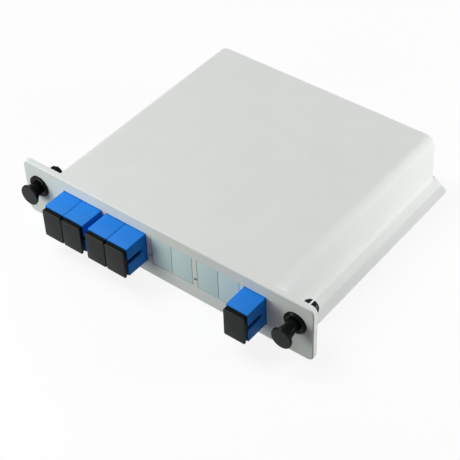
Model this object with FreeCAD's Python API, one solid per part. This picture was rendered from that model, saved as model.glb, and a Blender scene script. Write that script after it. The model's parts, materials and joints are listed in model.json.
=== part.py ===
import FreeCAD, Part
import math
import os

# A plug-in splitter cassette for a fibre distribution rack, in millimetres.
# X runs along the front panel, Y from the panel to the rear, Z up.
# The origin is the middle of the footprint, at the level of the underside.

# Front panel and case
PANEL_W = 130.0
PANEL_H = 24.1
PANEL_T = 2.25
PANEL_CORNER_R = 2.5
PANEL_BEVEL = 0.35
EAR_W = 14.7                # panel edge to the top of the side wall
CASE_DEPTH = 100.0          # panel front to rear wall
CASE_DRAFT = 0.5            # how far each side wall leans out at its foot
WALL = 2.0
CASE_SIDE_R = 4.0           # rounding along the top of the sides
CASE_REAR_R = 2.5

# Slide rails along the foot of the sides
RAIL_RISE = 4.4
RAIL_KNEE_OUT = 3.05
RAIL_KNEE_RISE = 1.9
RAIL_OUT = 5.8
RAIL_LIP = 0.45
RAIL_T = 1.5
RAIL_ROOT_R = 2.0
RAIL_TIP_R = 1.5

# Ports: SC simplex adapters and the plates that close unused places
ADAPTER_W = 9.1
ADAPTER_H = 12.7
ADAPTER_L = 27.4
ADAPTER_REACH = 9.85        # how far an adapter stands out of the panel
ADAPTER_BEVEL = 0.3
PORT_RISE = 0.65            # port axis above the middle of the panel
PAIR_GAP = 0.05
PAIR_COUNT = 4
WEB_W = 1.95                # panel between two windows
ROW_MARGIN = 5.05           # side wall to the first window
INPUT_MARGIN = 4.3          # last window to the side wall
WINDOW_CLEAR = 0.15
NOTCH_W = 1.4
NOTCH_H = 1.1
NOTCH_DROP = 3.05           # notch centre below the port axis
COLLAR_RISE = 0.7
COLLAR_T = 2.0
COLLAR_GAP = 0.1
RETAINER_T = 1.5

# Inside an adapter
ADAPTER_SIDE_T = 0.85
ADAPTER_TOP_T = 1.85
KEY_SLOT_L = 7.3
KEY_SLOT_H = 2.2
SEAT_RISE = 0.25
HOLDER_FLANGE_T = 2.0
HOLDER_CLEAR = 0.05
HOLDER_TUBE_R = 2.3
HOLDER_TUBE_L = 13.0
HOLDER_TUBE_SIDES = 12
ARM_W = 3.0
ARM_T = 0.8
ARM_OFFSET = 2.75           # inner face of an arm above the axis
ARM_L = 7.2
ARM_HOOK = 0.45
ARM_HOOK_L = 1.0
FERRULE_R = 1.25
FERRULE_CLEAR = 0.01

# Dust caps
CAP_SIDE_GAP = 0.125        # cap edge inside the adapter's side
CAP_TOP_GAP = 0.3           # cap edge below the adapter's top
CAP_T = 1.4
CAP_CORNER_R = 0.7
CAP_STAND_OFF = 0.5
CAP_SHOULDER_GAP = 0.05
CAP_SHOULDER_MARGIN = 0.25
CAP_PLUG_L = 5.2
CAP_PLUG_WALL = 0.75
PLUG_CLEAR = 0.1

# Blanking plates
BLANK_CLEAR = 0.12

# Latches
LATCH_INSET = 7.2           # latch axis to the panel edge
LATCH_RISE = 2.75           # latch axis above the middle of the panel
LATCH_TRAVEL = 2.4
KNOB_R = 4.05
KNOB_REACH = 8.2            # knob front to panel front, pulled out
KNOB_T = 1.2
WAIST_AT = 4.4
SHAFT_R = 2.4
SHAFT_CLEAR = 0.08
SHAFT_END = 6.3             # shaft end behind the panel front, pulled out
GROMMET_R = 4.45
GROMMET_RIM = 0.35
GROMMET_LIP_R = 3.5
GROMMET_LIP = 1.0           # lip in front of the panel
GROMMET_WALL = 0.5
GROMMET_HOLE_CLEAR = 0.1
BARB_R = 3.4
BARB_L = 0.6
BARB_GAP = 0.15
BARB_CLEAR = 0.3
BARB_SEAT = 0.5             # depth of the recess behind the panel that the barbs bear in
NOSE_R = 3.2
NOSE_L = 5.8
NOSE_TIP_L = 1.6
NOSE_TIP_WALL = 0.3
NOSE_SLOT = 1.2

# Cover and screws
COVER_T = 2.0
COVER_CLEAR = 0.15
TONGUE_W = 12.0
TONGUE_T = 1.0
TONGUE_L = 1.1
TONGUE_CLEAR = 0.1
TONGUE_X = (-30.0, 0.0, 30.0)
BOSS_R = 2.4
BOSS_INSET = 1.0            # boss to the inside of the walls
SCREW_R = 1.25
SCREW_CLEAR = 0.15
SCREW_HOLD_CLEAR = 0.03
SCREW_HEAD_R = 2.1
SCREW_HEAD_H = 1.1
SCREW_SINK = 0.1
SCREW_L = 8.0

# Plugs inside the case, each in one piece with its ferrule and boot
PLUG_FRONT_GAP = 0.7        # plug face to the holder flange
PLUG_BEHIND = 11.0          # plug body behind the adapter
PLUG_POCKET_CLEAR = 0.1
ARM_CLEAR = 0.2
FERRULE_ROOT = 1.0
BOOT_R = 2.0
BOOT_L = 18.0
FIBRE_R = 0.45
FIBRE_SIDES = 6
FIBRE_CLEAR = 0.08
FIBRE_SEAT_L = 6.0          # fibre inside a boot
SEAT_CLEAR = 0.1

# Splitter module
MODULE_L = 40.0
MODULE_W = 4.0
MODULE_T = 0.3
MODULE_X = -5.0
MODULE_Y = 52.0             # behind the panel front
MODULE_END_L = 4.5
MODULE_END_IN = 3.0         # how far an end plug reaches into the tube
MODULE_END_CLEAR = 0.05
MODULE_END_TAPER = 0.5
CHIP_SIZE = (18.0, 2.4, 1.2)
FAN_PITCH = 1.2
PAD_T = 0.5
LUG_T = 1.2
LUG_L = 6.0
LUG_CLEAR = 0.15
LUG_GRIP = 3.0

# Fibre loops: distances to the side, and behind the panel front
BUNDLE_PITCH = 1.2
OUTPUT_SIDE_X = 38.5
OUTPUT_REAR_Y = 88.0
OUTPUT_REAR_Z = 16.0
OUTPUT_BEND_R = (13.0, 16.0, 20.0)
INPUT_REAR_Y = 91.5
INPUT_REAR_Z = 16.0
INPUT_FAR_X = -45.0
INPUT_BEND_R = (20.0, 18.0, 15.0)
BEND_STEPS = 5              # straight chords in each bend

# Fibre clips
CLIP_T = 0.9
CLIP_L = 4.0
CLIP_MOUTH = 1.6
CLIP_STEM = 2.0
CLIP_FOOT = (8.0, 0.8)
CLIP_CLEAR = 0.35           # fibre to the inside of a clip
REAR_CLIP_X = 14.0
SIDE_CLIP_Y = 66.0          # behind the panel front

# Places worked out from the sizes above
CASE_TOP_W = PANEL_W - 2 * EAR_W
CAP_REACH = ADAPTER_REACH + CAP_STAND_OFF + CAP_T
FRONT_Y = (CAP_REACH - CASE_DEPTH) / 2
PANEL_BACK_Y = FRONT_Y + PANEL_T
REAR_Y = FRONT_Y + CASE_DEPTH
CEILING_Z = PANEL_H - WALL
PORT_Z = PANEL_H / 2 + PORT_RISE
BORE_W = ADAPTER_W - 2 * ADAPTER_SIDE_T
BORE_H = ADAPTER_H - 2 * ADAPTER_TOP_T
ADAPTER_FRONT_Y = FRONT_Y - ADAPTER_REACH
ADAPTER_BACK_Y = ADAPTER_FRONT_Y + ADAPTER_L
ADAPTER_MID_Y = ADAPTER_FRONT_Y + ADAPTER_L / 2
COLLAR_Y = PANEL_BACK_Y + COLLAR_GAP
RETAINER_Y = COLLAR_Y + COLLAR_T + COLLAR_GAP
LATCH_X = PANEL_W / 2 - LATCH_INSET
LATCH_Z = PANEL_H / 2 + LATCH_RISE
GROMMET_NECK_R = SHAFT_R + SHAFT_CLEAR + GROMMET_WALL
BARB_Y = PANEL_BACK_Y - BARB_SEAT + BARB_GAP
PLUG_FRONT_Y = ADAPTER_MID_Y + HOLDER_FLANGE_T / 2 + PLUG_FRONT_GAP
PLUG_BACK_Y = ADAPTER_BACK_Y + PLUG_BEHIND
BOOT_BACK_Y = PLUG_BACK_Y + BOOT_L
FIBRE_START_Y = BOOT_BACK_Y - FIBRE_SEAT_L + SEAT_CLEAR
MODULE_MID_Y = FRONT_Y + MODULE_Y
MODULE_Z = CEILING_Z - PAD_T - MODULE_W / 2
MODULE_LEFT_X = MODULE_X - MODULE_L / 2
MODULE_RIGHT_X = MODULE_X + MODULE_L / 2
CLIP_GRIP = FIBRE_R + CLIP_CLEAR

PORT_OFFSET = (ADAPTER_W + PAIR_GAP) / 2
PAIR_WINDOW_W = 2 * ADAPTER_W + PAIR_GAP + 2 * WINDOW_CLEAR
FIRST_PAIR_X = ROW_MARGIN + PAIR_WINDOW_W / 2 - CASE_TOP_W / 2
PAIR_X = [FIRST_PAIR_X + (PAIR_WINDOW_W + WEB_W) * i for i in range(PAIR_COUNT)]
INPUT_X = CASE_TOP_W / 2 - INPUT_MARGIN - WINDOW_CLEAR - ADAPTER_W / 2
PLACES_X = [x + side * PORT_OFFSET for x in PAIR_X for side in (-1, 1)]
OUTPUTS = {"out_%d" % (i + 1): PLACES_X[i] for i in range(4)}
PORTS = dict(OUTPUTS, **{"in": INPUT_X})
BLANKS = {"%d" % (i + 1): PLACES_X[i + 4] for i in range(4)}


def vec(x, y, z):
    return FreeCAD.Vector(x, y, z)


def box(x0, x1, y0, y1, z0, z1):
    return Part.makeBox(x1 - x0, y1 - y0, z1 - z0, vec(x0, y0, z0))


def block(x, z, width, height, y0, y1):
    """A box centred on the line through (x, z), from y0 to y1."""
    return box(x - width / 2, x + width / 2, y0, y1, z - height / 2, z + height / 2)


def rod(radius, x, z, y0, y1):
    """A round bar along Y."""
    return Part.makeCylinder(radius, y1 - y0, vec(x, y0, z), vec(0, 1, 0))


def rounded_edges(points, radii, closed):
    """Straight edges through the points, with a tangent arc at each corner that has a radius."""
    count = len(points)
    corners = []
    for i in range(count):
        if radii[i] == 0 or (not closed and i in (0, count - 1)):
            corners.append((points[i], None, points[i]))
            continue
        back = (points[i - 1] - points[i]).normalize()
        ahead = (points[(i + 1) % count] - points[i]).normalize()
        half = back.getAngle(ahead) / 2
        reach = radii[i] / math.tan(half)
        inward = (back + ahead).normalize()
        middle = points[i] + inward * (radii[i] / math.sin(half) - radii[i])
        corners.append((points[i] + back * reach, middle, points[i] + ahead * reach))
    edges = []
    for i in range(count if closed else count - 1):
        start = corners[i][2]
        end = corners[(i + 1) % count][0]
        if corners[i][1] is not None:
            edges.append(Part.Arc(*corners[i]).toShape())
        if start.distanceToPoint(end) > 1e-6:
            edges.append(Part.LineSegment(start, end).toShape())
    return edges


def prism_y(corners, y0, y1):
    """Extrude an outline of (x, z, corner radius) from y0 to y1."""
    points = [vec(x, y0, z) for x, z, r in corners]
    wire = Part.Wire(rounded_edges(points, [r for x, z, r in corners], True))
    return Part.Face(wire).extrude(vec(0, y1 - y0, 0))


def prism_z(corners, z0, z1):
    """Extrude an outline of (x, y, corner radius) from z0 to z1."""
    points = [vec(x, y, z0) for x, y, r in corners]
    wire = Part.Wire(rounded_edges(points, [r for x, y, r in corners], True))
    return Part.Face(wire).extrude(vec(0, 0, z1 - z0))


def bar(x, z, width, height, radius, y0, y1):
    """A bar along Y with rounded long edges."""
    a = width / 2
    b = height / 2
    corners = [(x - a, z - b, radius), (x + a, z - b, radius), (x + a, z + b, radius), (x - a, z + b, radius)]
    return prism_y(corners, y0, y1)


def turned_y(profile, x, z, y0):
    """Turn an outline of (radius, y) about the line along Y through (x, z)."""
    points = [vec(x + r, y0 + y, z) for r, y in profile]
    face = Part.Face(Part.makePolygon(points + points[:1]))
    return face.revolve(vec(x, 0, z), vec(0, 1, 0), 360)


def flats(sides, radius, centre, along):
    """An outline of equal flats with its corners at a radius, square to a direction."""
    across = along.cross(vec(0, 0, 1)).normalize() * radius
    turns = [FreeCAD.Rotation(along, 360.0 * i / sides) for i in range(sides + 1)]
    return Part.makePolygon([centre + turn.multVec(across) for turn in turns])


def many_sided(sides, radius, start, along, length):
    return Part.Face(flats(sides, radius, start, along)).extrude(along * length)


def mirrored_x(shape):
    return shape.mirror(vec(0, 0, 0), vec(1, 0, 0))


def merged(first, others):
    return first.fuse(list(others)).removeSplitter()


def wall_x(z):
    """Outer face of the right side wall at height z, which leans out towards the foot."""
    return CASE_TOP_W / 2 + CASE_DRAFT * (1 - z / PANEL_H)


def front_panel():
    panel = bar(0, PANEL_H / 2, PANEL_W, PANEL_H, PANEL_CORNER_R, FRONT_Y, PANEL_BACK_Y)
    front_edges = [e for e in panel.Edges if e.BoundBox.YMax < FRONT_Y + 1e-6]
    return panel.makeChamfer(PANEL_BEVEL, front_edges)


def case_box():
    """The drawn box behind the panel, rounded along its top and round its rear."""
    low = wall_x(0)
    high = wall_x(PANEL_H)
    corners = [(-low, 0, 0), (low, 0, 0), (high, PANEL_H, CASE_SIDE_R), (-high, PANEL_H, CASE_SIDE_R)]
    solid = prism_y(corners, FRONT_Y + PANEL_T / 2, REAR_Y)
    rear = [e for e in solid.Edges if e.BoundBox.YMin > REAR_Y - 1e-6 and e.BoundBox.ZMax > RAIL_LIP]
    return solid.makeFillet(CASE_REAR_R, rear)


def case_hollow():
    low = wall_x(0) - WALL
    high = wall_x(PANEL_H) - WALL
    inner_r = CASE_SIDE_R - WALL
    corners = [(-low, 0, 0), (low, 0, 0), (high, CEILING_Z, inner_r), (-high, CEILING_Z, inner_r)]
    return prism_y(corners, PANEL_BACK_Y, REAR_Y - WALL)


def slide_rail():
    """The right rail: a sloping skirt with a hollow underside and a rounded rear tip."""
    root_x = wall_x(RAIL_RISE)
    knee_x = root_x + RAIL_KNEE_OUT
    tip_x = root_x + RAIL_OUT
    inside_x = wall_x(0) - WALL / 2
    corners = [(inside_x, 0, 0), (tip_x, 0, 0), (tip_x, RAIL_LIP, 0), (knee_x, RAIL_KNEE_RISE, 0),
               (root_x, RAIL_RISE, 0), (inside_x, RAIL_RISE, 0)]
    skirt = prism_y(corners, FRONT_Y + PANEL_T / 2, REAR_Y)
    plan = [(0, FRONT_Y, 0), (tip_x, FRONT_Y, 0), (tip_x, REAR_Y, RAIL_TIP_R), (0, REAR_Y, 0)]
    skirt = skirt.common(prism_z(plan, 0, PANEL_H))
    slope = math.atan2(RAIL_RISE - RAIL_KNEE_RISE, RAIL_KNEE_OUT)
    sink = RAIL_T / math.cos(slope)
    foot_x = wall_x(0)
    top_z = RAIL_RISE - sink - (foot_x - root_x) * math.tan(slope)
    hollow = [(foot_x, 0, 0), (foot_x + top_z / math.tan(slope), 0, 0), (foot_x, top_z, 0)]
    return skirt.cut(prism_y(hollow, PANEL_BACK_Y, REAR_Y - WALL))


def rail_root():
    """The hollow fillet between the side wall and the rail."""
    rise = 3 * RAIL_ROOT_R
    root = (wall_x(RAIL_RISE), RAIL_RISE)
    top = (wall_x(RAIL_RISE + rise), RAIL_RISE + rise)
    knee = (root[0] + RAIL_KNEE_OUT, RAIL_KNEE_RISE)
    corners = [(top[0] - WALL / 2, top[1], 0), (root[0] - WALL / 2, RAIL_KNEE_RISE, 0),
               (knee[0], knee[1], 0), (root[0], root[1], RAIL_ROOT_R), (top[0], top[1], 0)]
    return prism_y(corners, FRONT_Y + PANEL_T / 2, REAR_Y - CASE_REAR_R)


def window(x, places):
    """The opening for one or two ports, with its small notch in the web on the left."""
    width = places * ADAPTER_W + (places - 1) * PAIR_GAP + 2 * WINDOW_CLEAR
    height = ADAPTER_H + 2 * WINDOW_CLEAR
    opening = block(x, PORT_Z, width, height, FRONT_Y - 1, PANEL_BACK_Y)
    left = x - width / 2
    notch_z = PORT_Z - NOTCH_DROP
    notch = box(left - NOTCH_W, left, FRONT_Y - 1, PANEL_BACK_Y, notch_z - NOTCH_H / 2, notch_z + NOTCH_H / 2)
    return opening.fuse(notch)


def boss_places():
    x = wall_x(0) - WALL - BOSS_INSET - BOSS_R
    y = REAR_Y - WALL - BOSS_INSET - BOSS_R
    return [(-x, y), (x, y)]


def adapter_retainer(z0, z1):
    """The cross rib that traps the collars of adapters and blanking plates behind the panel."""
    reach = INPUT_X + ADAPTER_W / 2
    return box(-reach, reach, RETAINER_Y, RETAINER_Y + RETAINER_T, z0, z1)


def module_lugs():
    """Four lugs on the ceiling, a pair at each end of the splitter module."""
    lugs = []
    gap = MODULE_W / 2 + LUG_CLEAR
    for side_x in (-1, 1):
        x = MODULE_X + side_x * (MODULE_L / 2 - LUG_L)
        for y in (MODULE_MID_Y - gap - LUG_T, MODULE_MID_Y + gap):
            lugs.append(box(x - LUG_L / 2, x + LUG_L / 2, y, y + LUG_T, CEILING_Z - LUG_GRIP, CEILING_Z))
    return lugs


def tongue(x, clear, reach):
    """A tongue on the cover's front edge, or its slot in the panel when clear is above zero."""
    middle = COVER_T / 2
    half_w = TONGUE_W / 2 + clear
    half_t = TONGUE_T / 2 + clear
    return box(x - half_w, x + half_w, PANEL_BACK_Y - TONGUE_L - clear, PANEL_BACK_Y + reach,
               middle - half_t, middle + half_t)


def latch_hole(x):
    """The hole through an ear, with the recess behind it that the grommet's barbs bear in."""
    hole = rod(GROMMET_NECK_R + GROMMET_HOLE_CLEAR, x, LATCH_Z, FRONT_Y, PANEL_BACK_Y)
    return hole.fuse(rod(BARB_R + BARB_CLEAR, x, LATCH_Z, PANEL_BACK_Y - BARB_SEAT, PANEL_BACK_Y))


def case_body():
    rail = slide_rail()
    root = rail_root()
    shell = merged(case_box(), [front_panel(), rail, root, mirrored_x(rail), mirrored_x(root)])
    shell = shell.cut(case_hollow())
    ribs = module_lugs()
    ribs.append(adapter_retainer(PORT_Z + ADAPTER_H / 2 + WINDOW_CLEAR, CEILING_Z))
    for x, y in boss_places():
        ribs.append(Part.makeCylinder(BOSS_R, CEILING_Z - COVER_T, vec(x, y, COVER_T)))
    shell = merged(shell, ribs)
    cuts = [window(x, 2) for x in PAIR_X]
    cuts.append(window(INPUT_X, 1))
    cuts.extend(latch_hole(side * LATCH_X) for side in (-1, 1))
    for x, y in boss_places():
        cuts.append(Part.makeCylinder(SCREW_R + SCREW_HOLD_CLEAR, SCREW_L + 1, vec(x, y, 0)))
    for x in TONGUE_X:
        cuts.append(tongue(x, TONGUE_CLEAR, 0))
    return shell.cut(cuts)


def screw_hole(x, y):
    """The hole for a cover screw, with a seat that sinks its head."""
    seat = Part.makeCylinder(SCREW_HEAD_R + SCREW_CLEAR, SCREW_HEAD_H + SCREW_SINK, vec(x, y, 0))
    return seat.fuse(Part.makeCylinder(SCREW_R + SCREW_CLEAR, COVER_T, vec(x, y, 0)))


def bottom_cover():
    half_w = wall_x(0) - WALL - COVER_CLEAR
    front = PANEL_BACK_Y + COVER_CLEAR
    back = REAR_Y - WALL - COVER_CLEAR
    plate = box(-half_w, half_w, front, back, 0, COVER_T)
    parts = [adapter_retainer(COVER_T, PORT_Z - ADAPTER_H / 2 - WINDOW_CLEAR)]
    parts.extend(tongue(x, 0, COVER_CLEAR + 1) for x in TONGUE_X)
    cover = merged(plate, parts)
    return cover.cut([screw_hole(x, y) for x, y in boss_places()])


def cover_screw(x, y):
    head = Part.makeCylinder(SCREW_HEAD_R, SCREW_HEAD_H, vec(x, y, SCREW_SINK))
    return merged(head, [Part.makeCylinder(SCREW_R, SCREW_L, vec(x, y, SCREW_SINK))])


def cover_screws():
    return Part.makeCompound([cover_screw(x, y) for x, y in boss_places()])


def key_slot(x, y0, y1):
    """The slot in the side of an adapter that a plug's key runs in."""
    return box(x, x + ADAPTER_W, y0, y1, PORT_Z - KEY_SLOT_H / 2, PORT_Z + KEY_SLOT_H / 2)


def collar(x, width):
    """The step above and below a port insert that keeps it from coming out of the panel."""
    return block(x, PORT_Z, width, ADAPTER_H + 2 * COLLAR_RISE, COLLAR_Y, COLLAR_Y + COLLAR_T)


def adapter_housing(x):
    housing = block(x, PORT_Z, ADAPTER_W, ADAPTER_H, ADAPTER_FRONT_Y, ADAPTER_BACK_Y)
    housing = housing.makeChamfer(ADAPTER_BEVEL, [e for e in housing.Edges if e.BoundBox.YLength > ADAPTER_L / 2])
    housing = merged(housing, [collar(x, ADAPTER_W - 4 * ADAPTER_BEVEL)])
    seat_half = HOLDER_FLANGE_T / 2 + HOLDER_CLEAR
    cuts = [block(x, PORT_Z, BORE_W, BORE_H, ADAPTER_FRONT_Y, ADAPTER_BACK_Y),
            block(x, PORT_Z, BORE_W + 2 * SEAT_RISE, BORE_H + 2 * SEAT_RISE,
                  ADAPTER_MID_Y - seat_half, ADAPTER_MID_Y + seat_half),
            key_slot(x, ADAPTER_FRONT_Y, ADAPTER_FRONT_Y + KEY_SLOT_L),
            key_slot(x, ADAPTER_BACK_Y - KEY_SLOT_L, ADAPTER_BACK_Y)]
    return housing.cut(cuts)


def latch_arm(x, up, ahead):
    """One hooked arm of a sleeve holder: up or down from the axis, to the rear or the front."""
    profile = [(0, ARM_OFFSET), (ARM_L, ARM_OFFSET), (ARM_L, ARM_OFFSET - ARM_HOOK),
               (ARM_L + ARM_HOOK_L, ARM_OFFSET), (ARM_L + ARM_HOOK_L, ARM_OFFSET + ARM_T),
               (0, ARM_OFFSET + ARM_T)]
    points = [vec(x - ARM_W / 2, ADAPTER_MID_Y + ahead * a, PORT_Z + up * b) for a, b in profile]
    return Part.Face(Part.makePolygon(points + points[:1])).extrude(vec(ARM_W, 0, 0))


def sleeve_holder(x):
    """The inner part of an adapter: flange, tube with its alignment bore, and four hooked arms."""
    half = HOLDER_FLANGE_T / 2
    margin = 2 * (SEAT_RISE - HOLDER_CLEAR)
    holder = block(x, PORT_Z, BORE_W + margin, BORE_H + margin, ADAPTER_MID_Y - half, ADAPTER_MID_Y + half)
    front = vec(x, ADAPTER_MID_Y - HOLDER_TUBE_L / 2, PORT_Z)
    tube = many_sided(HOLDER_TUBE_SIDES, HOLDER_TUBE_R, front, vec(0, 1, 0), HOLDER_TUBE_L)
    arms = [latch_arm(x, up, ahead) for up in (-1, 1) for ahead in (-1, 1)]
    holder = merged(holder, [tube] + arms)
    return holder.cut(rod(FERRULE_R + FERRULE_CLEAR, x, PORT_Z, ADAPTER_FRONT_Y, ADAPTER_BACK_Y))


def dust_cap(x):
    """A pull-off cap: finger plate, stop shoulder and a hollow plug that fills the port."""
    front = FRONT_Y - CAP_REACH
    back = front + CAP_T
    stop = ADAPTER_FRONT_Y - CAP_SHOULDER_GAP
    end = ADAPTER_FRONT_Y + CAP_PLUG_L
    plug_w = BORE_W - 2 * PLUG_CLEAR
    plug_h = BORE_H - 2 * PLUG_CLEAR
    plate = bar(x, PORT_Z, ADAPTER_W - 2 * CAP_SIDE_GAP, ADAPTER_H - 2 * CAP_TOP_GAP, CAP_CORNER_R, front, back)
    shoulder = block(x, PORT_Z, BORE_W + 2 * CAP_SHOULDER_MARGIN, BORE_H + 2 * CAP_SHOULDER_MARGIN, back, stop)
    cap = merged(plate, [shoulder, block(x, PORT_Z, plug_w, plug_h, back, end)])
    return cap.cut(block(x, PORT_Z, plug_w - 2 * CAP_PLUG_WALL, plug_h - 2 * CAP_PLUG_WALL, stop, end))


def blank_plate(x):
    """A plate that closes an unused port, flush with the panel and trapped by its collar."""
    width = ADAPTER_W - BLANK_CLEAR + PAIR_GAP
    plate = block(x, PORT_Z, width, ADAPTER_H + 2 * (WINDOW_CLEAR - BLANK_CLEAR), FRONT_Y, COLLAR_Y + COLLAR_T)
    return merged(plate, [collar(x, width)])


def latch_grommet(x):
    """A snap-in grommet: flange, neck through the panel, barbs, and a nose split into four legs."""
    bore = SHAFT_R + SHAFT_CLEAR
    barb = BARB_Y - FRONT_Y
    nose = barb + BARB_L
    end = nose + NOSE_L
    tip = end + NOSE_TIP_L
    profile = [(bore, -GROMMET_LIP), (GROMMET_LIP_R, -GROMMET_LIP), (GROMMET_LIP_R, -GROMMET_RIM),
               (GROMMET_R, -GROMMET_RIM), (GROMMET_R, 0), (GROMMET_NECK_R, 0), (GROMMET_NECK_R, barb),
               (BARB_R, barb), (NOSE_R, nose), (NOSE_R, end), (bore + NOSE_TIP_WALL, tip), (bore, tip)]
    grommet = turned_y(profile, x, LATCH_Z, FRONT_Y)
    slots = []
    for width, height in ((NOSE_SLOT, 2 * BARB_R), (2 * BARB_R, NOSE_SLOT)):
        slots.append(block(x, LATCH_Z, width, height, BARB_Y, FRONT_Y + tip))
    return grommet.cut(slots)


def latch_plunger(x, pushed):
    """A push-pull plunger: a knob that tapers from its rim to the shaft."""
    end = KNOB_REACH + SHAFT_END
    profile = [(0, 0), (KNOB_R, 0), (KNOB_R, KNOB_T), (SHAFT_R, WAIST_AT), (SHAFT_R, end), (0, end)]
    return turned_y(profile, x, LATCH_Z, FRONT_Y - KNOB_REACH + pushed)


def inner_plug(x):
    """The plug inside the case: slotted body round a ferrule, and its boot with the fibre's hole."""
    width = BORE_W - 2 * PLUG_CLEAR
    body = block(x, PORT_Z, width, BORE_H - 2 * PLUG_CLEAR, PLUG_FRONT_Y, PLUG_BACK_Y)
    pocket = 2 * (HOLDER_TUBE_R + PLUG_POCKET_CLEAR)
    pocket_end = ADAPTER_MID_Y + HOLDER_TUBE_L / 2 + SEAT_CLEAR
    slot_end = ADAPTER_MID_Y + ARM_L + ARM_HOOK_L + SEAT_CLEAR
    body = body.cut([block(x, PORT_Z, pocket, pocket, PLUG_FRONT_Y, pocket_end),
                     block(x, PORT_Z, ARM_W + 2 * ARM_CLEAR, BORE_H, PLUG_FRONT_Y, slot_end)])
    tip = rod(FERRULE_R, x, PORT_Z, ADAPTER_MID_Y, slot_end + FERRULE_ROOT)
    boot = many_sided(FIBRE_SIDES, BOOT_R, vec(x, PLUG_BACK_Y - 1, PORT_Z), vec(0, 1, 0), BOOT_L + 1)
    plug = merged(body, [tip, boot])
    mouth = vec(x, BOOT_BACK_Y, PORT_Z)
    return plug.cut(many_sided(FIBRE_SIDES, FIBRE_R + FIBRE_CLEAR, mouth, vec(0, -1, 0), FIBRE_SEAT_L))


def bend_points(before, corner, after, radius):
    """Points along the arc that rounds a corner."""
    back = (before - corner).normalize()
    ahead = (after - corner).normalize()
    half = back.getAngle(ahead) / 2
    centre = corner + (back + ahead).normalize() * (radius / math.sin(half))
    first = corner + back * (radius / math.tan(half)) - centre
    turn = FreeCAD.Rotation(back.cross(ahead), math.degrees(math.pi - 2 * half) / -BEND_STEPS)
    points = []
    for i in range(BEND_STEPS + 1):
        points.append(centre + first)
        first = turn.multVec(first)
    return points


def fibre_tube(points, bends):
    """A buffered fibre along straight runs joined by bends."""
    path = points[:1]
    for before, corner, after, radius in zip(points, points[1:], points[2:], bends):
        path.extend(bend_points(before, corner, after, radius))
    path.append(points[-1])
    section = flats(FIBRE_SIDES, FIBRE_R, path[0], (path[1] - path[0]).normalize())
    return Part.makePolygon(path).makePipeShell([section], True, False, 1)


def output_fibre(index, x):
    """From the module's right end round the right side and the rear of the case to a plug."""
    side_x = OUTPUT_SIDE_X - BUNDLE_PITCH * index
    rear_y = FRONT_Y + OUTPUT_REAR_Y - BUNDLE_PITCH * index
    exit_y = MODULE_MID_Y + (index // 2 - 0.5) * FAN_PITCH
    exit_z = MODULE_Z + (0.5 - index % 2) * FAN_PITCH
    points = [vec(MODULE_RIGHT_X + SEAT_CLEAR, exit_y, exit_z), vec(side_x, exit_y, exit_z),
              vec(side_x, rear_y, OUTPUT_REAR_Z), vec(x, rear_y, PORT_Z), vec(x, FIBRE_START_Y, PORT_Z)]
    return fibre_tube(points, OUTPUT_BEND_R)


def input_fibre():
    """From the input plug round the outside of the loop to the module's left end."""
    rear_y = FRONT_Y + INPUT_REAR_Y
    points = [vec(INPUT_X, FIBRE_START_Y, PORT_Z), vec(INPUT_X, rear_y, PORT_Z),
              vec(INPUT_FAR_X, rear_y, INPUT_REAR_Z), vec(INPUT_FAR_X, MODULE_MID_Y, MODULE_Z),
              vec(MODULE_LEFT_X - SEAT_CLEAR, MODULE_MID_Y, MODULE_Z)]
    return fibre_tube(points, INPUT_BEND_R)


def module_tube():
    y = MODULE_MID_Y
    half = MODULE_W / 2
    inner = half - MODULE_T
    tube = box(MODULE_LEFT_X, MODULE_RIGHT_X, y - half, y + half, MODULE_Z - half, MODULE_Z + half)
    return tube.cut(box(MODULE_LEFT_X, MODULE_RIGHT_X, y - inner, y + inner, MODULE_Z - inner, MODULE_Z + inner))


def module_end(side, bores):
    """A rubber end of the splitter module: a plug in the tube and a tapered nose with fibre bores."""
    mouth = MODULE_X + side * MODULE_L / 2
    inside = mouth - side * MODULE_END_IN
    half = MODULE_W / 2 - MODULE_T - MODULE_END_CLEAR
    x0, x1 = sorted((inside, mouth))
    plug = box(x0, x1, MODULE_MID_Y - half, MODULE_MID_Y + half, MODULE_Z - half, MODULE_Z + half)
    root = MODULE_W / 2
    tip = root - MODULE_END_TAPER
    nose = Part.makeWedge(-root, 0, -root, -tip, -tip, root, MODULE_END_L, root, tip, tip)
    nose.rotate(vec(0, 0, 0), vec(0, 0, 1), -90 * side)
    nose.translate(vec(mouth, MODULE_MID_Y, MODULE_Z))
    end = merged(nose, [plug])
    reach = MODULE_END_L + MODULE_END_IN
    for y, z in bores:
        start = vec(inside, MODULE_MID_Y + y, MODULE_Z + z)
        end = end.cut(many_sided(FIBRE_SIDES, FIBRE_R + FIBRE_CLEAR, start, vec(side, 0, 0), reach))
    return end


def waveguide_chip():
    """The glass chip that splits the light, lying on the floor of the tube."""
    length, width, height = CHIP_SIZE
    z = MODULE_Z - MODULE_W / 2 + MODULE_T
    return box(MODULE_X - length / 2, MODULE_X + length / 2, MODULE_MID_Y - width / 2, MODULE_MID_Y + width / 2,
               z, z + height)


def module_pad():
    """Foam tape between the module and the ceiling of the case."""
    half = MODULE_W / 2
    reach = MODULE_L / 2 - 2 * LUG_L
    return box(MODULE_X - reach, MODULE_X + reach, MODULE_MID_Y - half, MODULE_MID_Y + half,
               CEILING_Z - PAD_T, CEILING_Z)


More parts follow.
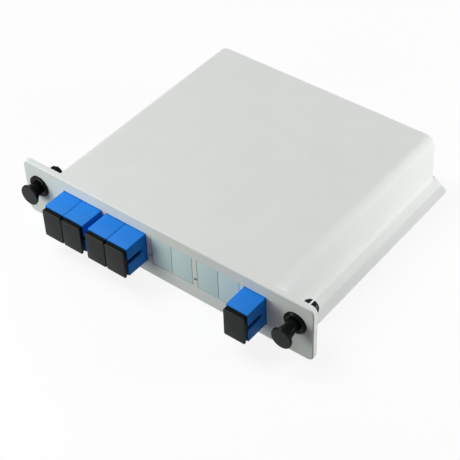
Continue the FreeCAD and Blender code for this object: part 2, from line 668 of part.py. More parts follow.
def fibre_clip(span, heights):
    """A clip round a bundle that runs along Y, hung from the ceiling and open at its foot."""
    left, right = span
    low, high = heights
    middle = (left + right) / 2
    foot_w, foot_t = CLIP_FOOT
    y0 = -CLIP_L / 2
    y1 = CLIP_L / 2
    ring = box(left - CLIP_T, right + CLIP_T, y0, y1, low - CLIP_T, high + CLIP_T)
    stem = box(middle - CLIP_STEM / 2, middle + CLIP_STEM / 2, y0, y1, high, CEILING_Z)
    foot = box(middle - foot_w / 2, middle + foot_w / 2, y0, y1, CEILING_Z - foot_t, CEILING_Z)
    clip = merged(ring, [stem, foot])
    mouth = box(middle - CLIP_MOUTH / 2, middle + CLIP_MOUTH / 2, y0, y1, low - CLIP_T, low)
    return clip.cut([box(left, right, y0, y1, low, high), mouth])


def height_at(place, start, end):
    """Height at a place along a straight fibre between two ends, each given as (place, height)."""
    return start[1] + (end[1] - start[1]) * (place - start[0]) / (end[0] - start[0])


def rear_clip():
    """The clip on the loop behind the plugs, where all five fibres run along X."""
    span = (FRONT_Y + OUTPUT_REAR_Y - 3 * BUNDLE_PITCH - CLIP_GRIP, FRONT_Y + INPUT_REAR_Y + CLIP_GRIP)
    low = height_at(REAR_CLIP_X, (INPUT_X, PORT_Z), (INPUT_FAR_X, INPUT_REAR_Z)) - CLIP_GRIP
    high = height_at(REAR_CLIP_X, (OUTPUT_SIDE_X, OUTPUT_REAR_Z), (OUTPUTS["out_1"], PORT_Z)) + CLIP_GRIP
    clip = fibre_clip(span, (low, high))
    clip.rotate(vec(0, 0, 0), vec(0, 0, 1), 90)
    clip.translate(vec(REAR_CLIP_X, 0, 0))
    return clip


def side_clip():
    """The clip on the right side of the loop, where the four output fibres run along Y."""
    span = (OUTPUT_SIDE_X - 3 * BUNDLE_PITCH - CLIP_GRIP, OUTPUT_SIDE_X + CLIP_GRIP)
    rear = (OUTPUT_REAR_Y, OUTPUT_REAR_Z)
    low = height_at(SIDE_CLIP_Y, (MODULE_Y, MODULE_Z - FAN_PITCH / 2), rear) - CLIP_GRIP
    high = height_at(SIDE_CLIP_Y, (MODULE_Y, MODULE_Z + FAN_PITCH / 2), rear) + CLIP_GRIP
    clip = fibre_clip(span, (low, high))
    clip.translate(vec(0, FRONT_Y + SIDE_CLIP_Y, 0))
    return clip


def build_pieces():
    pieces = {"case_body": case_body(), "bottom_cover": bottom_cover(), "cover_screws": cover_screws()}
    pieces["latch_grommets"] = Part.makeCompound([latch_grommet(side * LATCH_X) for side in (-1, 1)])
    pieces["latch_plunger_left"] = latch_plunger(-LATCH_X, LATCH_TRAVEL)
    pieces["latch_plunger_right"] = latch_plunger(LATCH_X, 0)
    for name, x in PORTS.items():
        pieces["adapter_" + name] = adapter_housing(x)
        pieces["sleeve_holder_" + name] = sleeve_holder(x)
        pieces["dust_cap_" + name] = dust_cap(x)
        pieces["plug_" + name] = inner_plug(x)
    for name, x in BLANKS.items():
        pieces["blank_plate_" + name] = blank_plate(x)
    for index, (name, x) in enumerate(OUTPUTS.items()):
        pieces["fibre_" + name] = output_fibre(index, x)
    pieces["fibre_in"] = input_fibre()
    fan = [(a * FAN_PITCH / 2, b * FAN_PITCH / 2) for a in (-1, 1) for b in (-1, 1)]
    pieces["module_tube"] = module_tube()
    pieces["module_end_in"] = module_end(-1, [(0, 0)])
    pieces["module_end_out"] = module_end(1, fan)
    pieces["waveguide_chip"] = waveguide_chip()
    pieces["module_pad"] = module_pad()
    pieces["fibre_clip_rear"] = rear_clip()
    pieces["fibre_clip_side"] = side_clip()
    return pieces


os.makedirs("parts", exist_ok=True)
for node, shape in build_pieces().items():
    if not shape.isValid():
        print("invalid solid:", node)
    shape.exportStep("parts/%s.step" % node)
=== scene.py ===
import json
import math

import bmesh
import bpy
from mathutils import Matrix, Vector


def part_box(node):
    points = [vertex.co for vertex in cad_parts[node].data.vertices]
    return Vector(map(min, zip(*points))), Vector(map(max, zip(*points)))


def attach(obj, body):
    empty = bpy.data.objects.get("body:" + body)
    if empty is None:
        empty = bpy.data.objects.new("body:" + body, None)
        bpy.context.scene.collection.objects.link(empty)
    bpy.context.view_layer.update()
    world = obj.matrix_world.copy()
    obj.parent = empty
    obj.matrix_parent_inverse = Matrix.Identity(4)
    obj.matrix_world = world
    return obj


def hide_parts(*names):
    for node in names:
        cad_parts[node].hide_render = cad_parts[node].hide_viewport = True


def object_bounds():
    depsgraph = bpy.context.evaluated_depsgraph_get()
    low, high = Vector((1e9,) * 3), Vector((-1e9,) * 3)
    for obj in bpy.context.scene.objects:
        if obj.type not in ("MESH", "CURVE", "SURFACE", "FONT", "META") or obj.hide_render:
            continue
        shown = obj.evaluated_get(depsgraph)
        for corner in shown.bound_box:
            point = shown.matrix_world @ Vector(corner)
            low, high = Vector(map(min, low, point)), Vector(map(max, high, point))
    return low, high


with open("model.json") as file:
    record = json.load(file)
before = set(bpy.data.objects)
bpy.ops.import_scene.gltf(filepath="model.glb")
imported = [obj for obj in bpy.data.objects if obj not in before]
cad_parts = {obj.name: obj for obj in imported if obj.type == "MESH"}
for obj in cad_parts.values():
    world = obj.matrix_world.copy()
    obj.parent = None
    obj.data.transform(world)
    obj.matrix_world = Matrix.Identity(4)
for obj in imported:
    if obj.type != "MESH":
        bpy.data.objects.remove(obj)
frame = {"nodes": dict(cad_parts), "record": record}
CAD_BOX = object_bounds()
MM = 0.001

# Measures are in mm and become metres through MM, unless a comment says metres.
# X runs along the panel, Y from the panel to the rear and Z up.

# Camera: the photograph's viewpoint round the middle of the object, in metres and degrees
CAMERA_PLACE = (0.22910, -0.28472, 0.33165)
CAMERA_AIM = (-0.46419, 0.56573, -0.68153)
CAMERA_ROLL = 2.22
CAMERA_LENS = 103.35
SENSOR = 36.0
CLIP_NEAR = 0.01
CLIP_FAR = 10.0

# Colours as linear light
CASE = (0.70, 0.715, 0.70)
BLANK = (0.56, 0.68, 0.70)
BLUE = (0.014, 0.205, 0.70)
CAP = (0.021, 0.023, 0.024)
NYLON = (0.005, 0.006, 0.006)
# Painted light: the knob's face is the same black nylon painted lighter, for the light that falls on it
LIT_FACE_BLACK = (0.034, 0.036, 0.037)
HOLDER = (0.78, 0.75, 0.66)
RUBBER = (0.030, 0.030, 0.030)
JACKET = (0.80, 0.68, 0.20)
STEEL = (0.58, 0.57, 0.55)
ZINC = (0.60, 0.60, 0.58)
GLASS = (0.85, 0.90, 0.88)
FOAM = (0.85, 0.84, 0.80)

# Finishes: how far sheen and tone stray from their mean, and how strong the relief is
RAMP_STOPS = (0.35, 0.65)
CLOUD = 14.0                 # how wide a moulding's clouds of tone are
MOULD_DETAIL = 3.0
MOULD_SHEEN = 0.06
MOULD_RELIEF = 0.35
LINE = 0.25                  # how wide the lines in drawn metal are
LINE_DETAIL = 4.0
LINE_TONE = 0.1
LINE_SHEEN = 0.08
LINE_RELIEF = 0.2
LINE_DEPTH = 0.01
CLEARNESS = 0.9
GLASS_IOR = 1.46
GLASS_CLOUD = 2.0
GLASS_GRAIN = 0.5
GLASS_TONE = 0.95
GLASS_ROUGH = (0.03, 0.08)

PORTS = ("out_1", "out_2", "out_3", "out_4", "in")


def node_tree(name):
    """A new material with its node tree and its shader."""
    material = bpy.data.materials.new(name)
    material.use_nodes = True
    return material, material.node_tree, material.node_tree.nodes["Principled BSDF"]


def place_coordinates(tree, scale):
    """Object coordinates, which are the row's own metres, times a scale along each axis."""
    source = tree.nodes.new("ShaderNodeTexCoord")
    mapping = tree.nodes.new("ShaderNodeMapping")
    mapping.inputs["Scale"].default_value = scale
    tree.links.new(source.outputs["Object"], mapping.inputs["Vector"])
    return mapping.outputs["Vector"]


def noise(tree, grain, detail=2.0, stretch=(1, 1, 1)):
    """Noise with the given grain."""
    texture = tree.nodes.new("ShaderNodeTexNoise")
    texture.inputs["Scale"].default_value = 1.0
    texture.inputs["Detail"].default_value = detail
    scale = [s / (grain * MM) for s in stretch]
    tree.links.new(place_coordinates(tree, scale), texture.inputs["Vector"])
    return texture.outputs["Fac"]


def ramp(tree, value, low, high):
    """A value turned into a run between two colours or two greys."""
    node = tree.nodes.new("ShaderNodeValToRGB")
    for element, place, end in zip(node.color_ramp.elements, RAMP_STOPS, (low, high)):
        element.position = place
        element.color = tuple(end) + (1.0,) if isinstance(end, tuple) else (end, end, end, 1.0)
    tree.links.new(value, node.inputs["Fac"])
    return node.outputs["Color"]


def bump(tree, shader, height, strength, depth):
    """Relief of the given depth on a shader."""
    node = tree.nodes.new("ShaderNodeBump")
    node.inputs["Strength"].default_value = strength
    node.inputs["Distance"].default_value = depth * MM
    tree.links.new(height, node.inputs["Height"])
    tree.links.new(node.outputs["Normal"], shader.inputs["Normal"])


def shade(colour, share):
    """The colour made lighter or darker."""
    return tuple(min(1.0, c * share) for c in colour)


def moulded(name, colour, rough, gloss=0.3, spread=0.02, grain=0.35, depth=0.01):
    """Moulded plastic: fine spark-eroded grain, faint clouds of tone, uneven sheen."""
    material, tree, shader = node_tree(name)
    shader.inputs["Specular IOR Level"].default_value = gloss
    clouds = noise(tree, CLOUD, MOULD_DETAIL)
    tone = ramp(tree, clouds, shade(colour, 1 - spread), shade(colour, 1 + spread))
    tree.links.new(tone, shader.inputs["Base Color"])
    fine = noise(tree, grain, MOULD_DETAIL)
    sheen = ramp(tree, fine, rough - MOULD_SHEEN, rough + MOULD_SHEEN)
    tree.links.new(sheen, shader.inputs["Roughness"])
    bump(tree, shader, fine, MOULD_RELIEF, depth)
    return material


def metal(name, colour, rough, stretch):
    """Drawn or plated metal, its lines longest where the stretch is least."""
    material, tree, shader = node_tree(name)
    shader.inputs["Metallic"].default_value = 1.0
    lines = noise(tree, LINE, LINE_DETAIL, stretch)
    tone = ramp(tree, lines, shade(colour, 1 - LINE_TONE), shade(colour, 1 + LINE_TONE))
    tree.links.new(tone, shader.inputs["Base Color"])
    sheen = ramp(tree, lines, rough - LINE_SHEEN, rough + LINE_SHEEN)
    tree.links.new(sheen, shader.inputs["Roughness"])
    bump(tree, shader, lines, LINE_RELIEF, LINE_DEPTH)
    return material


def glass(name, colour):
    """Clear glass with a faint cloud in it."""
    material, tree, shader = node_tree(name)
    shader.inputs["Transmission Weight"].default_value = CLEARNESS
    shader.inputs["IOR"].default_value = GLASS_IOR
    tone = ramp(tree, noise(tree, GLASS_CLOUD), shade(colour, GLASS_TONE), colour)
    tree.links.new(tone, shader.inputs["Base Color"])
    tree.links.new(ramp(tree, noise(tree, GLASS_GRAIN), *GLASS_ROUGH), shader.inputs["Roughness"])
    return material


MATERIALS = {
    "case_plastic": moulded("case_plastic", CASE, 0.62, gloss=0.2, spread=0.01),
    "blank_plastic": moulded("blank_plastic", BLANK, 0.42),
    "adapter_blue": moulded("adapter_blue", BLUE, 0.38, gloss=0.08, spread=0.04, grain=0.25),
    "holder_plastic": moulded("holder_plastic", HOLDER, 0.45),
    "cap_plastic": moulded("cap_plastic", CAP, 0.45, gloss=0.12, spread=0.12),
    "latch_nylon": moulded("latch_nylon", NYLON, 0.20, gloss=0.06, spread=0.15, grain=0.8),
    # Painted light: the knob's face, a lighter copy of the black nylon
    "lit_knob_face": moulded("lit_knob_face", LIT_FACE_BLACK, 0.60, gloss=0.1, spread=0.15),
    # Painted shade: near-black for the caps' plate edges, necks and plugs, standing for the shade in the
    # gap behind each plate
    "gap_shade_black": moulded("gap_shade_black", NYLON, 0.35, gloss=0.05, spread=0.1),
    "boot_rubber": moulded("boot_rubber", RUBBER, 0.70, spread=0.10),
    "fibre_jacket": moulded("fibre_jacket", JACKET, 0.40),
    "module_steel": metal("module_steel", STEEL, 0.30, (0.05, 1, 1)),
    "screw_steel": metal("screw_steel", ZINC, 0.28, (1, 1, 1)),
    "chip_glass": glass("chip_glass", GLASS),
    "foam_tape": moulded("foam_tape", FOAM, 0.85, grain=0.2, depth=0.05),
}


def dress_nodes():
    """Give every CAD node the material of its slot in the record."""
    slots = {row["node"]: row["material_slot"] for row in frame["record"]["subparts"]}
    for name, node in frame["nodes"].items():
        node.data.materials.clear()
        node.data.materials.append(MATERIALS[slots[name]])


def centre(node):
    """Middle of a CAD node's box."""
    low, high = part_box(node)
    return [(a + b) / 2 / MM for a, b in zip(low, high)]


def span(node, axis):
    """Lowest and highest place of a CAD node along an axis."""
    low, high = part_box(node)
    return low[axis] / MM, high[axis] / MM


def extent(node, axis):
    """Size of a CAD node along an axis."""
    low, high = span(node, axis)
    return high - low


CORNER_STEPS = 5             # faces in a rounded corner of an outline
ARC_STEPS = 6                # faces in a softened corner of a profile
ROUND_STEPS = 64             # faces round a turned piece
SMALL_STEPS = 40             # the same on a small one
AXIS_R = 0.02                # radius at which a turned profile meets its axis
CUT_PAST = 1                 # how far a cutter runs on past what it cuts
MERGE = 1e-7                 # metres
SHARP_ANGLE = math.radians(32)


def outline(width, height, radius):
    """A rectangle with rounded corners, as (across, up) points."""
    points = []
    for turn, (side, rise) in enumerate(((1, 1), (-1, 1), (-1, -1), (1, -1))):
        for step in range(CORNER_STEPS + 1):
            angle = math.radians(90 * (turn + step / CORNER_STEPS))
            points.append((side * (width / 2 - radius) + radius * math.cos(angle),
                           rise * (height / 2 - radius) + radius * math.sin(angle)))
    return points


def soften(points, radii):
    """A line of (a, b) points with the corners that have a radius turned into arcs."""
    soft = []
    for i, (point, radius) in enumerate(zip(points, radii)):
        if not radius:
            soft.append(point)
            continue
        here = Vector(point)
        back = (Vector(points[i - 1]) - here).normalized()
        ahead = (Vector(points[(i + 1) % len(points)]) - here).normalized()
        half = back.angle(ahead) / 2
        reach = radius / math.tan(half)
        middle = here + (back + ahead).normalized() * (radius / math.sin(half))
        start = here + back * reach - middle
        finish = here + ahead * reach - middle
        for step in range(ARC_STEPS + 1):
            arm = start.lerp(finish, step / ARC_STEPS).normalized() * radius
            soft.append(tuple(middle + arm))
    return soft


def loft(bm, rings, closed=False):
    """Skin over rings with the same number of points.

    The first and last ring become end faces, or are joined to each other if closed.
    """
    rows = [[bm.verts.new([c * MM for c in point]) for point in ring] for ring in rings]
    pairs = list(zip(rows, rows[1:]))
    if closed:
        pairs.append((rows[-1], rows[0]))
    else:
        bm.faces.new(rows[0])
        bm.faces.new(rows[-1])
    count = len(rows[0])
    for a, b in pairs:
        for i in range(count):
            j = (i + 1) % count
            bm.faces.new((a[i], a[j], b[j], b[i]))


def lathe(bm, profile, x, z, y, closed=False, steps=ROUND_STEPS):
    """Turn a line of (radius, along) points about the line along Y through (x, z)."""
    rings = []
    for radius, along in profile:
        rings.append([(x + radius * math.cos(a), y + along, z + radius * math.sin(a))
                      for a in (2 * math.pi * i / steps for i in range(steps))])
    loft(bm, rings, closed)


def boxed_rings(x, z, rows):
    """Rings of rounded rectangles round (x, z), from rows of (y, width, height, radius)."""
    return [[(x + a, y, z + b) for a, b in outline(w, h, r)] for y, w, h, r in rows]


def rounded_front(front, wide, high, edge, corner, steps):
    """Rows that round the edge of a plate's front."""
    rows = []
    for step in range(steps + 1):
        turn = math.radians(90 * step / steps)
        inset = edge * (1 - math.sin(turn))
        rows.append((front + edge * (1 - math.cos(turn)), wide - 2 * inset, high - 2 * inset,
                     corner - inset))
    return rows


def mesh_of(name, bm):
    """The bmesh as a mesh, with shared points merged and the faces turned outwards."""
    bmesh.ops.remove_doubles(bm, verts=bm.verts, dist=MERGE)
    bmesh.ops.recalc_face_normals(bm, faces=bm.faces)
    return plain_mesh(name, bm)


def plain_mesh(name, bm):
    """The bmesh as a mesh, as it is."""
    mesh = bpy.data.meshes.new(name)
    bm.to_mesh(mesh)
    bm.free()
    return mesh


def smoothed(mesh):
    """Smooth shading that stops at the sharper edges."""
    bm = bmesh.new()
    bm.from_mesh(mesh)
    for face in bm.faces:
        face.smooth = True
    for edge in bm.edges:
        edge.smooth = len(edge.link_faces) == 2 and edge.calc_face_angle() < SHARP_ANGLE
    bm.to_mesh(mesh)
    bm.free()


def piece(name, mesh, slot, body, nodes):
    """Show a mesh in place of CAD nodes, riding on their body."""
    mesh.materials.clear()
    mesh.materials.append(MATERIALS[slot])
    thing = bpy.data.objects.new(name, mesh)
    bpy.context.scene.collection.objects.link(thing)
    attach(thing, body)
    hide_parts(*nodes)


def second_material(mesh, name, chosen):
    """Give the faces whose middle the test accepts another material."""
    mesh.materials.append(MATERIALS[name])
    for face in mesh.polygons:
        if chosen(face.center):
            face.material_index = 1


def carved(mesh, cutter):
    """The mesh with another one cut away from it."""
    scene = bpy.context.scene
    things = []
    for data in (mesh, cutter):
        thing = bpy.data.objects.new("carving", data)
        scene.collection.objects.link(thing)
        things.append(thing)
    work = things[0].modifiers.new("cut", "BOOLEAN")
    work.operation = "DIFFERENCE"
    work.solver = "EXACT"
    work.object = things[1]
    bpy.context.view_layer.update()
    graph = bpy.context.evaluated_depsgraph_get()
    result = bpy.data.meshes.new_from_object(things[0].evaluated_get(graph))
    for thing in things:
        bpy.data.objects.remove(thing)
    return result


KNOB_R = 4.05
KNOB_RIM = 0.9               # the straight part of its edge
KNOB_DOME = 0.02             # how far its domed face has fallen back halfway out,
KNOB_FALL = 0.08             # and at its edge
KNOB_LEAD = 0.3              # width of the step from the face to the rim
KNOB_STEP = 0.12             # where the rim begins
KNOB_ROUNDS = (0.2, 0.25)    # rounding at the rim's front and back
TUCK_W = 0.4                 # the slope behind the rim
TUCK_L = 0.25
FACE_DEPTH = 0.1             # what lies nearer the front than this has a rougher finish and is painted a lighter black, for the light on the knob's face
WAIST_R = 2.4
FLARE_L = 4.2                # how far the knob takes to sweep down to the waist
FLARE_FROM = 30              # degrees of a quarter turn at which that sweep begins
FLARE_STEPS = 14
SHAFT_CHAMFER = 0.3
SAG = 0.9                    # how far the knob hangs below the line of its bore
SAG_POWER = 3                # how fast that dies out towards the panel


def add_plunger(side):
    """A push latch's plunger: a knob that sweeps down to the shaft like a spool, its face rougher and
    painted a lighter black for the light on it.
    """
    node = "latch_plunger_" + side
    x, _, z = centre(node)
    front, end = span(node, 1)
    panel = span("case_body", 1)[0]
    length = end - front
    face = [(AXIS_R, 0.0), (KNOB_R / 2, KNOB_DOME), (KNOB_R - KNOB_LEAD, KNOB_FALL)]
    edge = [(KNOB_R - KNOB_LEAD, KNOB_FALL), (KNOB_R, KNOB_STEP), (KNOB_R, KNOB_RIM),
            (KNOB_R - TUCK_W, KNOB_RIM + TUCK_L)]
    rim = soften(edge, (0,) + KNOB_ROUNDS + (0,))
    sweep = []
    first = math.radians(FLARE_FROM)
    drop = (KNOB_R - TUCK_W - WAIST_R) / (1 - math.sin(first))
    for step in range(1, FLARE_STEPS + 1):
        turn = first + (math.radians(90) - first) * step / FLARE_STEPS
        run = (math.cos(first) - math.cos(turn)) / math.cos(first)
        sweep.append((WAIST_R + drop * (1 - math.sin(turn)), KNOB_RIM + TUCK_L + FLARE_L * run))
    tail = [(WAIST_R, panel - front), (WAIST_R, length - SHAFT_CHAMFER),
            (WAIST_R - SHAFT_CHAMFER, length), (AXIS_R, length)]
    bm = bmesh.new()
    lathe(bm, face + rim[1:] + sweep + tail, x, z, front)
    mesh = mesh_of("plunger_" + side, bm)
    smoothed(mesh)
    for vertex in mesh.vertices:
        ahead = max(0.0, panel - vertex.co.y / MM) / (panel - front)
        vertex.co.z -= SAG * ahead ** SAG_POWER * MM
    piece("plunger_" + side, mesh, "latch_nylon", "plunger_" + side, [node])
    # Painted light: the knob's face takes a lighter copy of the black nylon, for the light on it
    second_material(mesh, "lit_knob_face", lambda middle: middle.y < (front + FACE_DEPTH) * MM)


# Along Y, a grommet's places are counted from the panel's front
FLANGE_R = 4.45
FLANGE_RISE = 0.6
LIP_R = 3.75
LIP_W = 0.5
LIP_RISE = 1.0
BORE_R = 2.48
BORE_RISE = 0.7
NECK_R = 2.98
BARB_R = 3.25
BARB_AT = 1.9
NOSE_R = 3.0
NOSE_AT = 2.5
NOSE_TAPER = 0.9
TIP_WALL = 0.1
GROMMET_ROUNDS = (0.05, 0.3, 0.2, 0.12, 0, 0, 0.05, 0.1, 0.1, 0.5, 0.04, 0)    # corner by corner
LEG_GAP = 0.8
GAP_AT = 1.92
GAP_REACH = 2.4 * BARB_R     # longer than the grommet is wide
GAP_CORNER = 0.01
LEG_TURN = {"left": -14, "right": 9}    # degrees each grommet stands turned in its hole


def add_grommets():
    """Both grommets: a flange with a raised lip, barbs behind the panel, and a nose of four legs."""
    whole = bmesh.new()
    for side in ("left", "right"):
        x, _, z = centre("latch_plunger_" + side)
        panel = span("case_body", 1)[0]
        tip = span("latch_grommets", 1)[1] - panel
        line = [(BORE_R, -BORE_RISE), (LIP_R - LIP_W, -LIP_RISE), (LIP_R, -LIP_RISE),
                (FLANGE_R, -FLANGE_RISE), (FLANGE_R, 0), (NECK_R, 0),
                (NECK_R, BARB_AT), (BARB_R, BARB_AT), (NOSE_R, NOSE_AT), (NOSE_R, tip - NOSE_TAPER),
                (BORE_R + TIP_WALL, tip), (BORE_R, tip)]
        bm = bmesh.new()
        lathe(bm, soften(line, GROMMET_ROUNDS), x, z, panel, closed=True)
        body = mesh_of("grommet", bm)
        turn = Matrix.Rotation(math.radians(LEG_TURN[side]), 3, "Y")
        for wide, high in ((LEG_GAP, GAP_REACH), (GAP_REACH, LEG_GAP)):
            bm = bmesh.new()
            rows = [(panel + GAP_AT, wide, high, GAP_CORNER),
                    (panel + tip + CUT_PAST, wide, high, GAP_CORNER)]
            loft(bm, boxed_rings(x, z, rows))
            bmesh.ops.rotate(bm, verts=bm.verts, cent=(x * MM, 0, z * MM), matrix=turn)
            body = carved(body, mesh_of("slot", bm))
        whole.from_mesh(body)
    mesh = plain_mesh("grommets", whole)
    smoothed(mesh)
    piece("grommets", mesh, "latch_nylon", "case", ["latch_grommets"])


PORT_W = 7.4                 # the opening of an adapter
PORT_H = 9.0

PLATE_T = 0.8
PLATE_EDGE = 0.3             # rounding of the plate's front edge
PLATE_EDGE_STEPS = 4
PLATE_BACK = 0.1             # chamfer of its back edge
PLATE_DROP = 0.35            # how far a plate hangs below the CAD model's
PLATE_CORNER = 0.7
SHADE_FROM_SHARE = 0.8          # share of the rounded edge behind which a cap is painted near-black, painted shade for the dark gap between plate and adapter
NECK_IN_W = 0.7              # how much narrower and lower than the plate the neck behind it is
NECK_IN_H = 0.4
NECK_SHY = 0.05              # how far short of the adapter the neck ends
CAP_PLAY = 0.1
CAP_WALL = 0.75
CAP_CORNER = 0.3
CAP_LEAD = 0.3               # chamfer at the plug's end
LEAD_CORNER = 0.15
HOLLOW_CORNER = 0.1


def add_caps():
    """Dust caps: a finger plate with softened edges, a neck and a hollow plug in the port."""
    for port in PORTS:
        node = "dust_cap_" + port
        x, _, z = centre(node)
        front, end = span(node, 1)
        wide = extent(node, 0)
        high = extent(node, 2)
        mouth = span("adapter_" + port, 1)[0] - NECK_SHY
        back = front + PLATE_T
        plate = rounded_front(front, wide, high, PLATE_EDGE, PLATE_CORNER, PLATE_EDGE_STEPS)
        plate.append((back - PLATE_BACK, wide, high, PLATE_CORNER))
        plate.append((back, wide - 2 * PLATE_BACK, high - 2 * PLATE_BACK, PLATE_CORNER - PLATE_BACK))
        neck_w, neck_h = wide - NECK_IN_W, high - NECK_IN_H
        plug_w, plug_h = PORT_W - 2 * CAP_PLAY, PORT_H - 2 * CAP_PLAY
        hollow_w, hollow_h = plug_w - 2 * CAP_WALL, plug_h - 2 * CAP_WALL
        rows = [(back, neck_w, neck_h, CAP_CORNER), (mouth, neck_w, neck_h, CAP_CORNER),
                (mouth, plug_w, plug_h, CAP_CORNER), (end - CAP_LEAD, plug_w, plug_h, CAP_CORNER),
                (end, plug_w - CAP_LEAD, plug_h - CAP_LEAD, LEAD_CORNER),
                (end, hollow_w, hollow_h, HOLLOW_CORNER), (mouth, hollow_w, hollow_h, HOLLOW_CORNER)]
        bm = bmesh.new()
        loft(bm, boxed_rings(x, z - PLATE_DROP, plate) + boxed_rings(x, z, rows))
        mesh = mesh_of("cap_" + port, bm)
        smoothed(mesh)
        piece("cap_" + port, mesh, "cap_plastic", "cap_" + port, [node])
        # Painted shade: behind the front's rounded edge the cap takes a near-black, for the shade in the
        # gap between plate and adapter
        shade_line = (front + SHADE_FROM_SHARE * PLATE_EDGE) * MM
        second_material(mesh, "gap_shade_black", lambda middle: middle.y > shade_line)


ADAPTER_W = 9.0
ADAPTER_H = 12.7
ADAPTER_EDGE = 0.14
EDGE_MID = 0.3               # share of the edge at which its chamfer changes slope,
EDGE_MID_CORNER = 0.7        # and of its radius, for the corners there
END_CORNER = 0.1
COLLAR_AT = 2.35             # behind the panel's front
COLLAR_L = 2
COLLAR_IN = 0.02             # how much narrower than the adapter the collar is,
COLLAR_RISE = 1.4            # and how much taller
MOUTH_LEAD = 0.3
SEAT_RISE = 0.25             # the groove in the middle, which the sleeve holder sits in
SEAT_HALF = 1.05
SLOT_L = 7.3                 # the key slots
SLOT_H = 2.2
SLOT_STEPS = 12
SLOT_CLEAR = 0.5             # how far the cutter stands out of the mouth and the side
SLOT_DEEP = 0.6              # how far inside the port's opening it begins


def slot_cutter(x, z, mouth, inward):
    """The bar with a round end that cuts a key slot in the +X side of an adapter."""
    half = SLOT_H / 2
    line = [(-SLOT_CLEAR, half), (-SLOT_CLEAR, -half)]
    for step in range(SLOT_STEPS + 1):
        turn = math.radians(-90 + 180 * step / SLOT_STEPS)
        line.append((SLOT_L - half + half * math.cos(turn), half * math.sin(turn)))
    bm = bmesh.new()
    rings = [[(x + across, mouth + inward * along, z + up) for along, up in line]
             for across in (PORT_W / 2 - SLOT_DEEP, ADAPTER_W / 2 + SLOT_CLEAR)]
    loft(bm, rings)
    return mesh_of("key_slot", bm)


def add_adapters():
    """Adapters: a tube with softened edges, a collar behind the panel and key slots at both mouths."""
    edge = ADAPTER_EDGE
    for port in PORTS:
        node = "adapter_" + port
        x = centre(node)[0]
        z = centre("dust_cap_" + port)[2]
        front, back = span(node, 1)
        middle = (front + back) / 2
        collar = span("case_body", 1)[0] + COLLAR_AT
        collar_w, collar_h = ADAPTER_W - COLLAR_IN, ADAPTER_H + COLLAR_RISE
        shoulder = (ADAPTER_W - 2 * EDGE_MID * edge, ADAPTER_H - 2 * EDGE_MID * edge,
                    edge * EDGE_MID_CORNER)
        end = (ADAPTER_W - 2 * edge, ADAPTER_H - 2 * edge, END_CORNER)
        mouth = (PORT_W + MOUTH_LEAD, PORT_H + MOUTH_LEAD, END_CORNER)
        bore = (PORT_W, PORT_H, END_CORNER)
        seat = (PORT_W + 2 * SEAT_RISE, PORT_H + 2 * SEAT_RISE, END_CORNER)
        rows = [(front + edge, ADAPTER_W, ADAPTER_H, edge), (collar, ADAPTER_W, ADAPTER_H, edge),
                (collar, collar_w, collar_h, edge), (collar + COLLAR_L, collar_w, collar_h, edge),
                (collar + COLLAR_L, ADAPTER_W, ADAPTER_H, edge), (back - edge, ADAPTER_W, ADAPTER_H, edge),
                (back - edge * EDGE_MID,) + shoulder, (back,) + end, (back,) + mouth,
                (back - MOUTH_LEAD,) + bore, (middle + SEAT_HALF,) + bore, (middle + SEAT_HALF,) + seat,
                (middle - SEAT_HALF,) + seat, (middle - SEAT_HALF,) + bore, (front + MOUTH_LEAD,) + bore,
                (front,) + mouth, (front,) + end, (front + edge * EDGE_MID,) + shoulder]
        bm = bmesh.new()
        loft(bm, boxed_rings(x, z, rows), closed=True)
        mesh = mesh_of("adapter_" + port, bm)
        for place, inward in ((front, 1), (back, -1)):
            mesh = carved(mesh, slot_cutter(x, z, place, inward))
        smoothed(mesh)
        piece("housing_" + port, mesh, "adapter_blue", "case", [node])


BLANK_EDGE = 0.18
BLANK_EDGE_STEPS = 3
BLANK_CORNER = BLANK_EDGE + 0.02
BLANK_TALLER = 0.06          # than an adapter
BLANK_COLLAR = 2
COLLAR_CORNER = 0.1


def add_blanks():
    """Blanking plates: front edges softened, with the collar that holds them behind the panel."""
    for number in range(1, 5):
        node = "blank_plate_%d" % number
        x, _, z = centre(node)
        front, back = span(node, 1)
        wide = extent(node, 0)
        high = ADAPTER_H + BLANK_TALLER
        tall = extent(node, 2)
        rows = rounded_front(front, wide, high, BLANK_EDGE, BLANK_CORNER, BLANK_EDGE_STEPS)
        rows += [(back - BLANK_COLLAR, wide, high, COLLAR_CORNER),
                 (back - BLANK_COLLAR, wide, tall, COLLAR_CORNER), (back, wide, tall, COLLAR_CORNER)]
        bm = bmesh.new()
        loft(bm, boxed_rings(x, z, rows))
        mesh = mesh_of("blank_%d" % number, bm)
        smoothed(mesh)
        piece("blank_%d" % number, mesh, "blank_plastic", "case", [node])


HEAD_R = 2.1
HEAD_H = 1.1
HEAD_LINE = ((HEAD_R * 0.6, 0.06), (HEAD_R - 0.1, 0.3), (HEAD_R, 0.5))    # the dome's edge
SHANK_R = 1.25
POINT_R = 0.6
POINT_L = 0.5
CROSS_L = 2.4
CROSS_W = 0.55
CROSS_LINE = ((-0.5, 1.0), (0.15, 1.0), (0.7, 0.55))    # height, and share of its full size there


